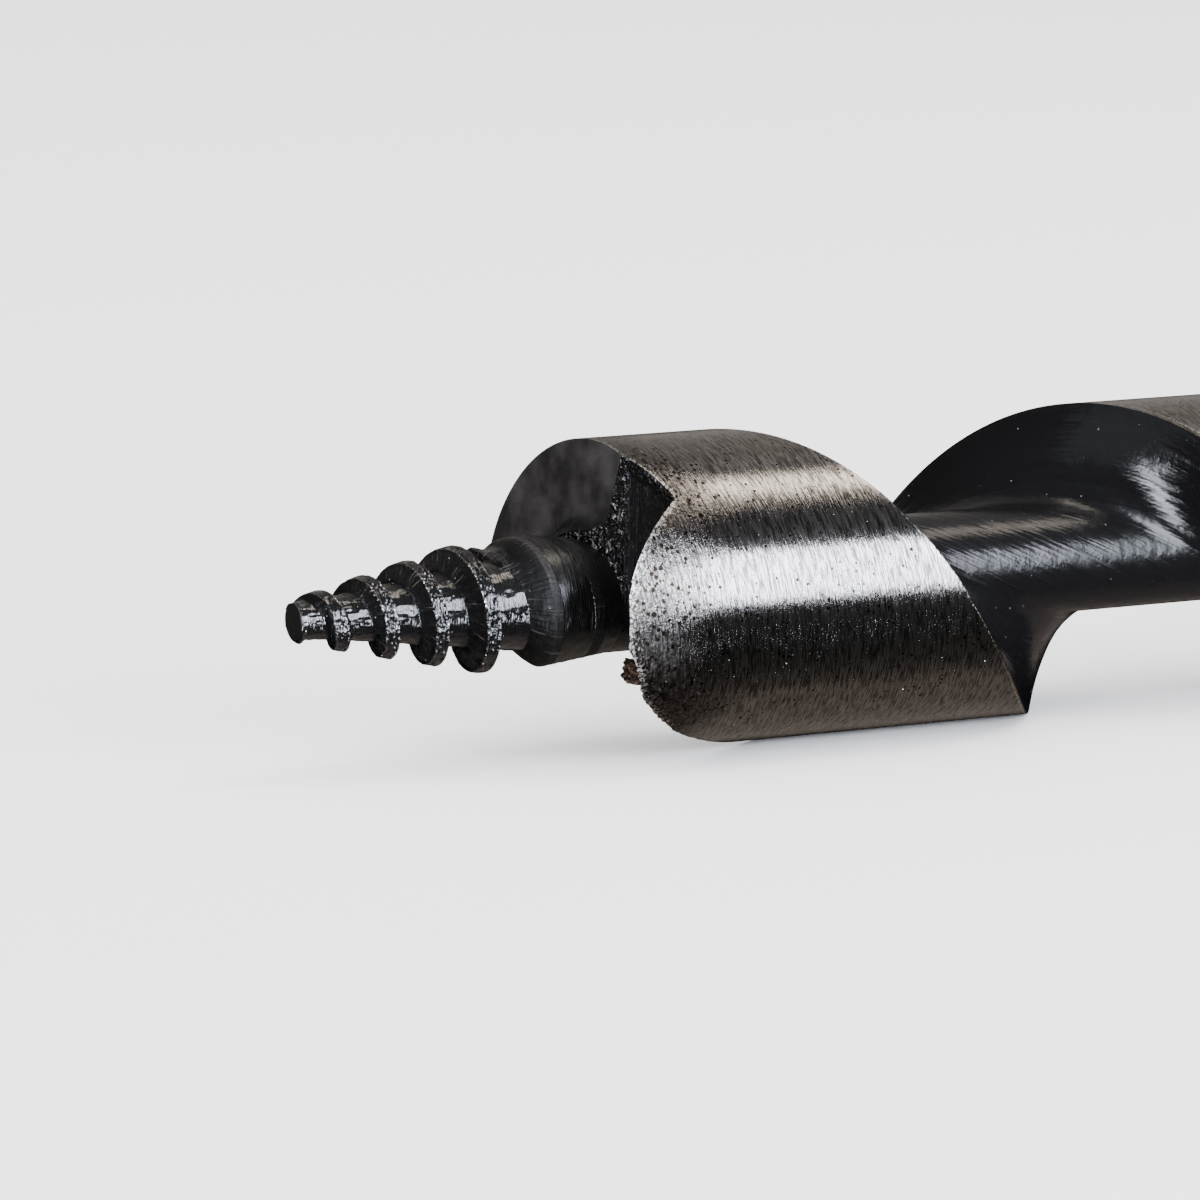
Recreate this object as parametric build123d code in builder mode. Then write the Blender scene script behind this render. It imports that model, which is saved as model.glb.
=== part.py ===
"""Single-twist auger drill bit with a solid centre, a conical feed screw and a hexagonal shank.

The bit lies along X: the point of the feed screw is at the -X end, and the origin is the centre of the
shank's end face. Angles called turns are measured round the axis from the top (+Z) towards -Y, so a
right-hand helix gains X as its turn grows. Profiles are drawn with x as the distance from the point.
"""

import os
from math import atan2, ceil, cos, degrees, radians, sin, tan

from build123d import *

# Spiral: one web wound round a solid core
bit_diameter = 16.0
core_diameter = 5.8
spiral_pitch = 36.7
spiral_length = 145.0
land_width = 14.1
chip_face_lean = 0.5
back_face_lean = 2.2
chip_face_root_radius = 3.2
back_face_root_radius = 3.2
spiral_end_taper = 5.0

# Feed screw: a cone with a round-bottomed thread
screw_length = 14.6
screw_point_radius = 1.0
screw_crest_angle = 12.35
thread_pitch = 2.54
thread_root_radius = 0.68
thread_root_angle = 8.75
thread_groove_radius = 1.15
thread_crest_length = 10.9
thread_length = 12.9
screw_waist_radius = 2.6
screw_waist_setback = 2.5
screw_base_diameter = 6.4
screw_base_length = 3.0

# Head: cutting lip, relief face, gullet, throat and rim spur
lip_turn = -96.0
lip_setback = 0.78
relief_angle = 7.33
relief_high_turn = 43.6
throat_angle = 28.4
spur_edge_thickness = 0.1
gullet_edge_offset = 2.87
gullet_angle = 26.1
screw_shoulder_radius = 2.0

# Neck and shank
neck_diameter = 9.5
neck_length = 30.0
neck_cone_length = 12.0
shank_across_flats = 11.1
shank_length = 45.4
shank_end_chamfer = 1.0
shank_shoulder_angle = 30.0
shank_crown = 0.1

# Cutters reach past what they cut, and joined pieces reach into each other
cutter_overhang = 1.2
overlap = 0.5

# Worked out from the sizes above
rim_radius = bit_diameter / 2
core_radius = core_diameter / 2
neck_radius = neck_diameter / 2
screw_base_radius = screw_base_diameter / 2
spiral_end = screw_length + spiral_length
neck_end = spiral_end + neck_length
overall_length = neck_end + shank_length
flute_width = spiral_pitch - land_width
outside = rim_radius + cutter_overhang
far_out = outside * 1.5
first_turn = -360.0


def radial_plane(turn):
    """A plane through the axis: x is the distance from the point, y is the radius at this turn."""
    across = (0, -cos(radians(turn)), -sin(radians(turn)))
    return Plane(origin=(-overall_length, 0, 0), x_dir=(1, 0, 0), z_dir=across)


def helix_path(start, turn, pitch, length, radius, cone_angle=0):
    """A right-hand helix round the axis that starts at this distance from the point and at this turn."""
    edge = Edge.make_helix(pitch, length, radius, (start - overall_length, 0, 0), (1, 0, 0), cone_angle)
    first = edge @ 0
    return edge.rotate(Axis.X, turn - degrees(atan2(-first.Y, first.Z)))


def chip_edge(turn):
    """Distance from the point to the rim edge of the web's shank side, which starts at the lip."""
    return screw_length + lip_setback + spiral_pitch * (turn - lip_turn) / 360


# Seen from below: x is the distance from the point, y runs from the axis towards the spur
below = Plane(origin=(-overall_length, 0, 0), x_dir=(1, 0, 0), z_dir=(0, 0, -1))

# The throat runs slantwise from the thin front edge of the spur in to the axis. What lies outside it
# is the spur and the front of the web.
spur_edge = rim_radius - spur_edge_thickness
spur_front = screw_length - cutter_overhang
throat_end = screw_length + spur_edge / tan(radians(throat_angle))
spur_back = throat_end + land_width / 4
with BuildPart() as spur:
    with BuildSketch(below):
        with BuildLine():
            Polyline((spur_front, spur_edge), (screw_length, spur_edge), (throat_end, 0), (spur_back, 0),
                     (spur_back, far_out), (spur_front, far_out), close=True)
        make_face()
    extrude(amount=far_out, both=True)

# What the flute leaves of the neck: a cone that grows out of the core
with BuildPart() as neck_root:
    with BuildSketch(radial_plane(0)):
        with BuildLine():
            cone_start = spiral_end - neck_cone_length
            past_neck = neck_end + spiral_pitch
            Polyline((cone_start, 0), (cone_start, core_radius - overlap / 2), (spiral_end, neck_radius),
                     (spiral_end + spiral_end_taper, far_out), (past_neck, far_out), (past_neck, 0),
                     close=True)
        make_face()
    revolve(axis=Axis.X)


def flute_turn(turn):
    """The space that one turn of the flute takes out of the blank, from this turn on."""
    start = chip_edge(turn)
    end = start + flute_width
    with BuildPart() as space:
        with BuildSketch(radial_plane(turn)):
            with BuildLine():
                FilletPolyline((start, outside), (start + chip_face_lean, core_radius),
                               (end - back_face_lean, core_radius), (end, outside),
                               radius=(chip_face_root_radius, back_face_root_radius))
                Line((end, outside), (start, outside))
            make_face()
        sweep(path=helix_path(start, turn, spiral_pitch, spiral_pitch, core_radius), is_frenet=True)
        if turn == first_turn:
            add(spur.part, mode=Mode.SUBTRACT)
        add(neck_root.part, mode=Mode.SUBTRACT)
    return space.part


# The relief face: all that stands ahead of the plane ground behind the lip, round the screw's shoulder
relief_slope = tan(radians(relief_angle))
lip_drop = rim_radius * relief_slope * cos(radians(lip_turn - relief_high_turn))
relief_centre = screw_length + lip_setback - lip_drop
high_way = Vector(0, -sin(radians(relief_high_turn)), cos(radians(relief_high_turn)))
relief_plane = Plane(origin=(relief_centre - overall_length, 0, 0),
                     z_dir=Vector(-1, 0, 0) + high_way * relief_slope)
shoulder_rim = screw_base_radius + screw_shoulder_radius
shoulder_x = relief_centre + relief_slope * shoulder_rim
with BuildPart() as relief_space:
    with BuildSketch(relief_plane):
        Circle(far_out)
    extrude(amount=screw_length / 2)
    with BuildSketch(radial_plane(0)):
        with BuildLine():
            flare_start = shoulder_x - screw_shoulder_radius
            past_shoulder = shoulder_x + screw_base_length
            Polyline((past_shoulder, 0), (0, 0), (0, screw_base_radius), (flare_start, screw_base_radius))
            TangentArc((flare_start, screw_base_radius), (shoulder_x, shoulder_rim), tangent=(1, 0))
            Polyline((shoulder_x, shoulder_rim), (past_shoulder, shoulder_rim), (past_shoulder, 0))
        make_face()
    revolve(axis=Axis.X, mode=Mode.SUBTRACT)
    add(spur.part, mode=Mode.SUBTRACT)

# The gullet: a coarse slope beside the screw, from the relief face out to the root of the spur
edge_turn = degrees(atan2(gullet_edge_offset, rim_radius))
edge_x = relief_centre + rim_radius * relief_slope * cos(radians(edge_turn - relief_high_turn))
gullet_slope = tan(radians(gullet_angle))
with BuildPart() as gullet_space:
    with BuildSketch(below):
        with BuildLine():
            Polyline((spur_front, 0), (edge_x - gullet_edge_offset * gullet_slope, 0),
                     (edge_x + (outside - gullet_edge_offset) * gullet_slope, outside),
                     (spur_front, outside), close=True)
        make_face()
    extrude(amount=-outside)
    with BuildSketch(Plane.YZ.offset(-overall_length)):
        Circle(screw_base_radius)
    extrude(amount=spiral_pitch, mode=Mode.SUBTRACT)
    add(spur.part, mode=Mode.SUBTRACT)

# The feed screw, drawn at the side of the bit, clear of where its groove starts
with BuildPart() as feed_screw:
    crest_radius = screw_point_radius + thread_crest_length * tan(radians(screw_crest_angle))
    waist_x = screw_length - screw_waist_setback
    head_x = screw_length + cutter_overhang
    point_rounding = screw_point_radius / 2
    with BuildSketch(radial_plane(90)):
        with BuildLine():
            Line((0, 0), (0, point_rounding))
            TangentArc((0, point_rounding), (point_rounding, screw_point_radius), tangent=(0, 1))
            Polyline((point_rounding, screw_point_radius), (thread_crest_length, crest_radius),
                     (waist_x, screw_waist_radius))
            Spline((waist_x, screw_waist_radius), (screw_length, screw_base_radius),
                   tangents=((1, 0), (1, 0)))
            Polyline((screw_length, screw_base_radius), (head_x, screw_base_radius),
                     (head_x + screw_base_length, core_radius),
                     (screw_length + 2 * screw_base_length, core_radius - overlap),
                     (screw_length + 2 * screw_base_length, 0), (0, 0))
        make_face()
    revolve(axis=Axis.X)
    groove_start = thread_root_radius + thread_groove_radius
    thread_path = helix_path(0, 0, thread_pitch, thread_length, groove_start, thread_root_angle)
    with BuildSketch(Plane(origin=thread_path @ 0, z_dir=thread_path % 0)):
        Circle(thread_groove_radius)
    sweep(path=thread_path, mode=Mode.SUBTRACT)

# The shank: a hexagon turned down to a crowned end and a crowned shoulder
flat_radius = shank_across_flats / 2
corner_radius = flat_radius / cos(radians(30)) + overlap
shoulder_run = (corner_radius - neck_radius) / tan(radians(shank_shoulder_angle))
end_radius = flat_radius - shank_end_chamfer / 2
end_run = shank_end_chamfer + corner_radius - flat_radius
with BuildPart() as shank:
    with BuildSketch(Plane.YZ.offset(-shank_length)):
        RegularPolygon(radius=flat_radius, side_count=6, major_radius=False)
    extrude(amount=shank_length)
    with BuildSketch(radial_plane(0)):
        with BuildLine():
            Line((neck_end, 0), (neck_end, neck_radius))
            SagittaArc((neck_end, neck_radius), (neck_end + shoulder_run, corner_radius), shank_crown)
            Line((neck_end + shoulder_run, corner_radius), (overall_length - end_run, corner_radius))
            SagittaArc((overall_length - end_run, corner_radius), (overall_length, end_radius), shank_crown)
            Polyline((overall_length, end_radius), (overall_length, 0), (neck_end, 0))
        make_face()
    revolve(axis=Axis.X, mode=Mode.INTERSECT)

# The bit: a turned blank with everything above cut out of it or joined to it
last_x = spiral_end + spiral_end_taper
turn_count = ceil((last_x - chip_edge(first_turn)) / spiral_pitch)
with BuildPart() as auger_bit:
    with BuildSketch(radial_plane(0)):
        with BuildLine():
            Polyline((screw_length, 0), (screw_length, rim_radius),
                     (spiral_end - spiral_end_taper, rim_radius), (spiral_end, neck_radius),
                     (neck_end + overlap, neck_radius), (neck_end + overlap, 0), close=True)
        make_face()
    revolve(axis=Axis.X)
    for count in range(turn_count):
        add(flute_turn(first_turn + 360 * count), mode=Mode.SUBTRACT)
    add(relief_space.part, mode=Mode.SUBTRACT)
    add(gullet_space.part, mode=Mode.SUBTRACT)
    add(feed_screw.part)
    add(shank.part)

auger_bit.part.label = "auger_bit"
os.makedirs("parts", exist_ok=True)
export_step(auger_bit.part, "parts/auger_bit.step")
print("overall length", round(overall_length, 2), "solids", len(auger_bit.part.solids()))
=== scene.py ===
"""Dresses the auger drill bit: spiral with its cutting head, feed screw, neck and hexagonal shank."""

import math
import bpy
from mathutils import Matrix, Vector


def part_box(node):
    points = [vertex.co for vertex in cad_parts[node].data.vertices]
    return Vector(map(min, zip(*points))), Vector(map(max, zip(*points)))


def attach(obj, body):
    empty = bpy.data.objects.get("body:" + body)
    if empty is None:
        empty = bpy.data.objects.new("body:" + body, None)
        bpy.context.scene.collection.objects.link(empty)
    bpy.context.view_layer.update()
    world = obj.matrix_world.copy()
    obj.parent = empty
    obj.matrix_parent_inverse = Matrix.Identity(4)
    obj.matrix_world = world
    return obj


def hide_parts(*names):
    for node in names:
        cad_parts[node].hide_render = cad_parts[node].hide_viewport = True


bl_info = {
    "name": "Auger drill bit",
    "version": (1, 0, 0),
    "blender": (4, 5, 0),
    "location": "3D View > Sidebar > Auger bit",
    "description": "Builds a single-twist auger bit with its lacquer, ground steel and studio",
    "category": "Object",
}

import bmesh
import bpy
import numpy as np
from bpy.props import FloatProperty, FloatVectorProperty, IntProperty, PointerProperty
from mathutils import Matrix, Vector

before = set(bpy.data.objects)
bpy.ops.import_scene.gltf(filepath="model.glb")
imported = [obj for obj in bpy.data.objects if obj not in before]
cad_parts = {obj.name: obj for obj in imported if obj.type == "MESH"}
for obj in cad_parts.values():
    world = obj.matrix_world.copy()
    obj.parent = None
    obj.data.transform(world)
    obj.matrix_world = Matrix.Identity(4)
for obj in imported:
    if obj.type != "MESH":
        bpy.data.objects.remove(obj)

NODE = "auger_bit"
BODY = "root"
MM = 0.001

# Kinds of node, some with their settings, by what they do
COMBINE = "ShaderNodeCombineXYZ"
SPLIT = "ShaderNodeSeparateXYZ"
CHANNELS = "ShaderNodeSeparateColor"
RANGE = "ShaderNodeMapRange"
FALLING = {"To Min": 1.0, "To Max": 0.0}
MAPPING = "ShaderNodeMapping"
NOISE = "ShaderNodeTexNoise"
CELLS = "ShaderNodeTexVoronoi"
BUMP = "ShaderNodeBump"
RAMP = "ShaderNodeValToRGB"
MIX = ("ShaderNodeMix", {"data_type": "RGBA"})
(PLUS, MINUS, TIMES, OVER, TIMES_PLUS, SMALLER, LARGER, BELOW, ABOVE, UNSIGNED, FRACTION, ANGLE, SINE,
 COSINE) = (("ShaderNodeMath", {"operation": name}) for name in (
        "ADD", "SUBTRACT", "MULTIPLY", "DIVIDE", "MULTIPLY_ADD", "MINIMUM", "MAXIMUM", "LESS_THAN",
        "GREATER_THAN", "ABSOLUTE", "FRACT", "ARCTAN2", "SINE", "COSINE"))
VECTOR_PLUS, VECTOR_MINUS, SCALED, LENGTH, DIRECTION, DOT = (
    ("ShaderNodeVectorMath", {"operation": name}) for name in (
        "ADD", "SUBTRACT", "SCALE", "LENGTH", "NORMALIZE", "DOT_PRODUCT"))

POINT_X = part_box(NODE)[0].x
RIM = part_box(NODE)[1].y
PITCH = 0.0367
LAND_WIDTH = 0.0141
CHIP_EDGE_X = POINT_X + 0.025166


def linear(hex_colour):
    """The linear red, green and blue of an sRGB hex colour."""
    parts = [int(hex_colour[place:place + 2], 16) / 255 for place in (1, 3, 5)]
    return tuple(part / 12.92 if part <= 0.04045 else ((part + 0.055) / 1.055) ** 2.4 for part in parts)


def opaque(colour, strength=1.0):
    """A colour, made darker or lighter by this strength, as an opaque one."""
    return (*[part * strength for part in colour], 1)


def feed(tree, node, inputs):
    """Gives a node's inputs their values, or links the nodes and sockets that feed them."""
    for name, value in inputs.items():
        if isinstance(value, bpy.types.Node):
            value = next(socket for socket in value.outputs if socket.enabled)
        if isinstance(value, bpy.types.NodeSocket):
            tree.links.new(value, node.inputs[name])
        else:
            node.inputs[name].default_value = value


def add(tree, kind, inputs=None, **settings):
    """Adds a node with its settings and links."""
    if isinstance(kind, tuple):
        kind, settings = kind
    made = tree.nodes.new(kind)
    for name, value in settings.items():
        setattr(made, name, value)
    feed(tree, made, inputs or {})
    return made


def scale_of(millimetres):
    """The texture scale that gives features of this size on coordinates in metres."""
    return 1000 / millimetres


def length(name, description, default):
    """A length for the panel, in metres."""
    return FloatProperty(name=name, description=description, default=default, unit="LENGTH", precision=5)


def finish_colour(name, description, hex_colour):
    """A finish's colour for the panel."""
    return FloatVectorProperty(name=name, description=description, default=linear(hex_colour),
                               subtype="COLOR")


class BitSizes(bpy.types.PropertyGroup):
    """Sizes of the bit, in metres."""

    core_radius: length("Core radius", "Radius of the solid centre", 0.0029)
    pitch: length("Spiral pitch", "Length of one turn of the web", PITCH)
    land_width: length("Land width", "Width of the web along the bit", LAND_WIDTH)
    spiral_length: length("Spiral length", "From the screw to the neck", 0.145)
    chip_lean: length("Chip face lean", "How far the shank side of the web leans", 0.0005)
    back_lean: length("Back face lean", "How far the point side of the web leans", 0.0022)
    root_radius: length("Flute root radius", "Rounding at the foot of both faces", 0.0032)
    chip_edge_x: length("Chip edge", "Where the web's shank side crosses the top", CHIP_EDGE_X)
    screw_length: length("Screw length", "From the point to the head", 0.0146)
    screw_pitch: length("Thread pitch", "Advance of the feed screw in one turn", 0.00254)
    neck_radius: length("Neck radius", "Radius of the round neck", 0.00475)
    shank_length: length("Shank length", "Length of the hexagon", 0.0454)
    shank_flats: length("Shank across flats", "Size of the hexagon", 0.0111)
    turn_steps: IntProperty(name="Steps in a turn", description="Facets round one turn of the spiral",
                            default=200, min=24)


class BitColours(bpy.types.PropertyGroup):
    """Colours of the bit's finishes."""

    steel: finish_colour("Ground steel", "Bare steel of the rim", "#8E8B88")
    lacquer: finish_colour("Black lacquer", "Baked lacquer of flutes and screw", "#0B0B0C")
    relief: finish_colour("Relief face", "Thin dull lacquer over the ground disc", "#232121")
    rust: finish_colour("Rust", "Torn steel gone brown", "#46311F")
    floor: finish_colour("Floor", "Pale paper under the bit", "#EBEBEB")


# Lacquer rubbed grey
RUBBED = linear("#3A3836")

# The head's faces, in metres from the point and from the axis
SCREW_END = 0.0146
LIP_SETBACK = 0.00078
LIP_TURN = math.radians(-96)
RELIEF_SLOPE = math.tan(math.radians(7.33))
RELIEF_HIGH = math.radians(43.6)
THROAT_SLOPE = math.tan(math.radians(28.4))
SPUR_EDGE = RIM - 0.0001
THROAT_LEAN = 0.17
THROAT_LEAN_FROM = 0.0026
GULLET_START = 0.00287
GULLET_SLOPE = math.tan(math.radians(26.1))
BEHIND_X = 0.03
BEHIND_SLOPE = 0.75
SHOULDER_RADIUS = 0.0032
SHOULDER_FILLET = 0.002
OVERHANG = 0.0012
OUTSIDE = RIM + OVERHANG
CUTS_FROM = SCREW_END - OVERHANG
FAR = 0.0138


def relief_x(radius, turn):
    """Distance from the point to the ground relief plane."""
    lip_drop = RIM * RELIEF_SLOPE * math.cos(LIP_TURN - RELIEF_HIGH)
    return SCREW_END + LIP_SETBACK - lip_drop + radius * RELIEF_SLOPE * math.cos(turn - RELIEF_HIGH)


# Where the gullet's edge crosses the rim
EDGE_X = relief_x(RIM, math.asin(GULLET_START / RIM))


def at(x, radius, turn):
    """A point of the bit from its distance to the point, its radius and its turn from the top."""
    return (POINT_X + x, -radius * math.sin(turn), radius * math.cos(turn))


def mesh_object(name, vertices, faces, material):
    """A linked object with this mesh, outward faces and this material."""
    mesh = bpy.data.meshes.new(name)
    mesh.from_pydata(vertices, [], faces)
    mesh.materials.append(material)
    shape = bmesh.new()
    shape.from_mesh(mesh)
    bmesh.ops.remove_doubles(shape, verts=shape.verts, dist=1e-7)
    bmesh.ops.recalc_face_normals(shape, faces=shape.faces)
    shape.to_mesh(mesh)
    shape.free()
    made = bpy.data.objects.new(name, mesh)
    bpy.context.scene.collection.objects.link(made)
    return made


def tube_faces(rings, around, closed_ends):
    """Faces of a tube of rings of points, capped with one face at each end or bent round to a torus."""
    faces = []
    for ring in range(rings if not closed_ends else rings - 1):
        after = (ring + 1) % rings
        for place in range(around):
            beside = (place + 1) % around
            faces.append((ring * around + place, ring * around + beside,
                          after * around + beside, after * around + place))
    if closed_ends:
        faces.append(tuple(range(around)))
        faces.append(tuple(range((rings - 1) * around, rings * around)))
    return faces


def turned(name, profile, around, material):
    """A solid of revolution from (distance from the point, radius) pairs, capped at both ends."""
    vertices = [at(x, radius, 2 * math.pi * place / around)
                for x, radius in profile for place in range(around)]
    return mesh_object(name, vertices, tube_faces(len(profile), around, True), material)


def prism(name, levels, material):
    """A solid through (z, outline) levels; an outline is (distance from the point, side distance) pairs."""
    vertices = [(POINT_X + x, -side, z) for z, outline in levels for x, side in outline]
    return mesh_object(name, vertices, tube_faces(len(levels), len(levels[0][1]), True), material)


def crowned(x, radius, run, rise, steps=12):
    """Profile of a turned face that crowns by 0.1 mm over this run and rise."""
    return [(x + run * step / steps,
             radius + rise * step / steps + 0.0001 * (1 - (2 * step / steps - 1) ** 2))
            for step in range(steps + 1)]


def combine(target, other, operation):
    """Joins, cuts or intersects the target with another closed object, which is then removed."""
    modifier = target.modifiers.new("combine", "BOOLEAN")
    modifier.operation = operation
    modifier.solver = "MANIFOLD"
    modifier.material_mode = "TRANSFER"
    modifier.object = other
    settle(target)
    bpy.data.objects.remove(other)


def smooth(value):
    """Eases from 0 to 1 while the value goes from 0 to 1."""
    value = np.clip(value, 0, 1)
    return value * value * (3 - 2 * value)


def grid_noise(rows, around, cells_along, cells_around, seed):
    """Soft random bumps from 0 to 1 on a grid that closes round the bit."""
    knots = np.random.default_rng(seed).random((cells_along + 2, cells_around))
    down = np.linspace(0, cells_along, rows)
    over = np.arange(around) * cells_around / around
    row, column = down.astype(int), over.astype(int)
    fall, run = smooth(down - row)[:, None], smooth(over - column)[None, :]
    after = (column + 1) % cells_around
    top = knots[row][:, column] * (1 - run) + knots[row][:, after] * run
    bottom = knots[row + 1][:, column] * (1 - run) + knots[row + 1][:, after] * run
    return top * (1 - fall) + bottom * fall


def settle(target):
    """Turns what the modifiers make of an object into its plain mesh and removes them."""
    evaluated = target.evaluated_get(bpy.context.evaluated_depsgraph_get())
    mesh = bpy.data.meshes.new_from_object(evaluated)
    target.modifiers.clear()
    target.data = mesh


def finish_piece(piece, sharp_angle):
    """Smooth shading with sharp edges, and the piece's place in the frame."""
    piece.data.polygons.foreach_set("use_smooth", [True] * len(piece.data.polygons))
    piece.data.set_sharp_from_angle(angle=math.radians(sharp_angle))
    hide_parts(NODE)
    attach(piece, BODY)
    print("piece", piece.name, "triangles", sum(len(face.vertices) - 2 for face in piece.data.polygons))


def head_cuts(lacquer, relief, gullet):
    """What the grinder and the mill take off the front: relief face, screw shoulder and gullet."""
    flare_steps, disc_steps, disc_step, around = 24, 21, 0.0004, 240
    radii = [SHOULDER_RADIUS + SHOULDER_FILLET * step / flare_steps for step in range(flare_steps + 1)]
    radii += [SHOULDER_RADIUS + SHOULDER_FILLET + disc_step * (step + 1) for step in range(disc_steps)]
    flare_start = relief_x(SHOULDER_RADIUS + SHOULDER_FILLET, RELIEF_HIGH) - SHOULDER_FILLET
    vertices = []
    for radius in [radii[0]] + radii + [radii[-1]]:
        for place in range(around):
            turn = 2 * math.pi * place / around
            x = relief_x(radius, turn)
            if radius < SHOULDER_RADIUS + SHOULDER_FILLET:
                reach = SHOULDER_RADIUS + SHOULDER_FILLET - radius
                x = min(x, flare_start + math.sqrt(max(SHOULDER_FILLET ** 2 - reach ** 2, 0)))
            vertices.append(at(x, radius, turn))
    for place in range(around):
        turn = 2 * math.pi * place / around
        vertices[place] = at(CUTS_FROM, radii[0], turn)
        vertices[place - around] = at(CUTS_FROM, radii[-1], turn)
    faces = tube_faces(len(radii) + 2, around, False)
    cuts = mesh_object("relief_cut", vertices, faces, relief)
    outline = [(CUTS_FROM, 0), (EDGE_X - GULLET_START * GULLET_SLOPE, 0),
               (EDGE_X + (OUTSIDE - GULLET_START) * GULLET_SLOPE, OUTSIDE), (CUTS_FROM, OUTSIDE)]
    milled = prism("gullet_cut", [(0, outline), (OUTSIDE, outline)], gullet)
    # The screw's base runs on into the core, which the gullet leaves standing
    cone_start, cone_end, within_core, past_gullet = 0.0132, 0.0176, 0.00288, 0.03
    root_profile = [(CUTS_FROM - 0.001, SHOULDER_RADIUS), (cone_start, SHOULDER_RADIUS),
                    (cone_end, within_core), (past_gullet, within_core)]
    core = turned("screw_root", root_profile, around, lacquer)
    combine(milled, core, "DIFFERENCE")
    combine(cuts, milled, "UNION")
    return cuts


def spur_wedge(material):
    """What lies outside the throat: the spur and the front of the web."""
    back = 0.045
    fine_tear, broad_tear, torn_below = 0.00009, 0.0001, 0.002
    levels = []
    # Low down the throat leans, so that the web's trailing corner stands out; its edge is torn
    steps = 220
    fine = np.random.default_rng(3).random(steps + 1) - 0.5
    broad = grid_noise(steps + 1, 1, 34, 1, 4)[:, 0] - 0.5
    for step in range(steps + 1):
        z = FAR * (2 * step / steps - 1)
        tear = (fine_tear * fine[step] + broad_tear * broad[step]) * (abs(z) < RIM)
        edge = SPUR_EDGE - THROAT_LEAN * max(-z - THROAT_LEAN_FROM, 0) + tear * (z < torn_below)
        throat_end = SCREW_END + edge / THROAT_SLOPE
        levels.append((z, [(CUTS_FROM, edge), (SCREW_END, edge), (throat_end, 0), (back, 0), (back, FAR),
                           (CUTS_FROM, FAR)]))
    wedge = prism("spur_wedge", levels, material)
    # Behind this slanting plane, which runs down the middle of the web, the next flute is free
    beyond = BEHIND_X + 0.05
    free = [(z, [(BEHIND_X - BEHIND_SLOPE * z, -2 * FAR), (beyond - BEHIND_SLOPE * z, -2 * FAR),
                 (beyond - BEHIND_SLOPE * z, 2 * FAR), (BEHIND_X - BEHIND_SLOPE * z, 2 * FAR)])
            for z in (-1.2 * FAR, 1.2 * FAR)]
    combine(wedge, prism("behind", free, material), "DIFFERENCE")
    return wedge


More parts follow.
